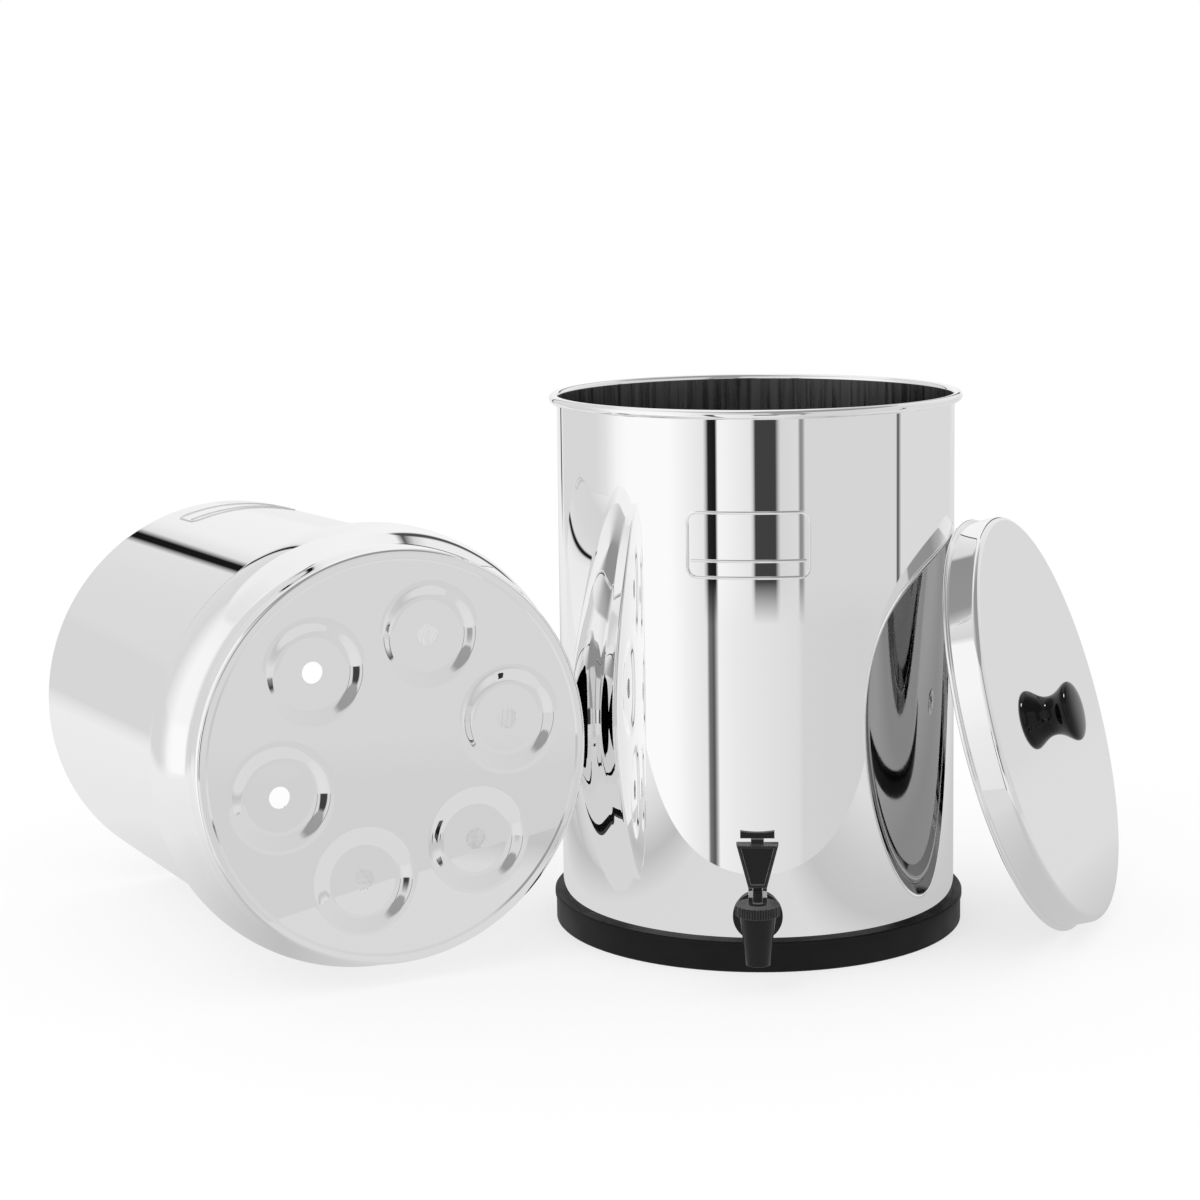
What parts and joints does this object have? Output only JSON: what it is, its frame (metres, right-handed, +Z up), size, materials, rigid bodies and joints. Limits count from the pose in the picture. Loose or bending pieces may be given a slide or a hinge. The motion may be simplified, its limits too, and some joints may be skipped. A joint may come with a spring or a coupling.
{
  "type": "gravity water filter with tap",
  "caption": "Two-chamber steel gravity water filter taken apart: lower chamber with lever tap on a rubber base, upper chamber on its side, knobbed lid leaning beside them.",
  "frame": {"origin": "centre of the base ring's underside, on the table", "axes": "+Z up, -Y the way the tap points, +X towards the leaning lid"},
  "size_m": [0.7146, 0.3888, 0.3404],
  "materials": {
    "polished_steel": "mirror-polished stainless steel sheet",
    "black_rubber": "satin moulded rubber",
    "grey_rubber": "matte moulded rubber",
    "tap_plastic": "black injection-moulded plastic, semi-gloss",
    "knob_plastic": "black phenolic, high gloss",
    "silicone": "translucent silicone",
    "fastener_steel": "plain stainless fasteners",
    "brass": "machined brass",
    "carbon_block": "matte porous carbon block",
    "white_plastic": "white moulded plastic"
  },
  "bodies": {
    "stand": {"lower_chamber": "polished_steel", "base_ring": "black_rubber", "tap_body": "tap_plastic", "tap_outer_washer": "grey_rubber", "tap_inner_washer": "grey_rubber", "tap_nut": "tap_plastic", "tap_bonnet": "tap_plastic", "hole_plugs": "black_rubber"},
    "valve_stem": {"valve_stem": "tap_plastic", "seat_cup": "silicone"},
    "tap_lever": {"tap_lever": "tap_plastic", "lever_pin": "fastener_steel"},
    "upper_chamber": {"upper_chamber": "polished_steel"},
    "lid": {"lid_shell": "polished_steel", "knob_crown": "knob_plastic", "knob_insert": "brass", "knob_screw": "fastener_steel", "knob_washer": "fastener_steel"},
    "filter_1": {"filter_1_cartridge": "carbon_block", "filter_1_base": "white_plastic", "filter_1_seal": "black_rubber", "filter_1_wing_nut": "white_plastic"},
    "filter_2": {"filter_2_cartridge": "carbon_block", "filter_2_base": "white_plastic", "filter_2_seal": "black_rubber", "filter_2_wing_nut": "white_plastic"}
  },
  "joints": [
    {"name": "valve_lift", "type": "slide", "parent": "stand", "child": "valve_stem", "axis": [0, 0, 1], "range_m": [0, 0.003]},
    {"name": "lever_pull", "type": "hinge", "parent": "valve_stem", "child": "tap_lever", "pos_m": [0, -0.169, 0.0607], "axis": [1, 0, 0], "range_deg": [0, 40], "stiffness_Nm_per_rad": 0.05},
    {"name": "upper_chamber_lift", "type": "slide", "parent": "stand", "child": "upper_chamber", "axis": [-0.5, 0, 0.866], "range_m": [0, 0.35]},
    {"name": "lid_lift", "type": "slide", "parent": "stand", "child": "lid", "axis": [0.9107, -0.303, 0.2807], "range_m": [0, 0.2]},
    {"name": "filter_1_lift", "type": "slide", "parent": "stand", "child": "filter_1", "axis": [0, 0, 1], "range_m": [0, 0.34]},
    {"name": "filter_2_lift", "type": "slide", "parent": "stand", "child": "filter_2", "axis": [0, 0, 1], "range_m": [0, 0.34]}
  ],
  "couplings": [
    {"joint": "lever_pull", "follows": "valve_lift", "rad_per_m": 232.71}
  ]
}
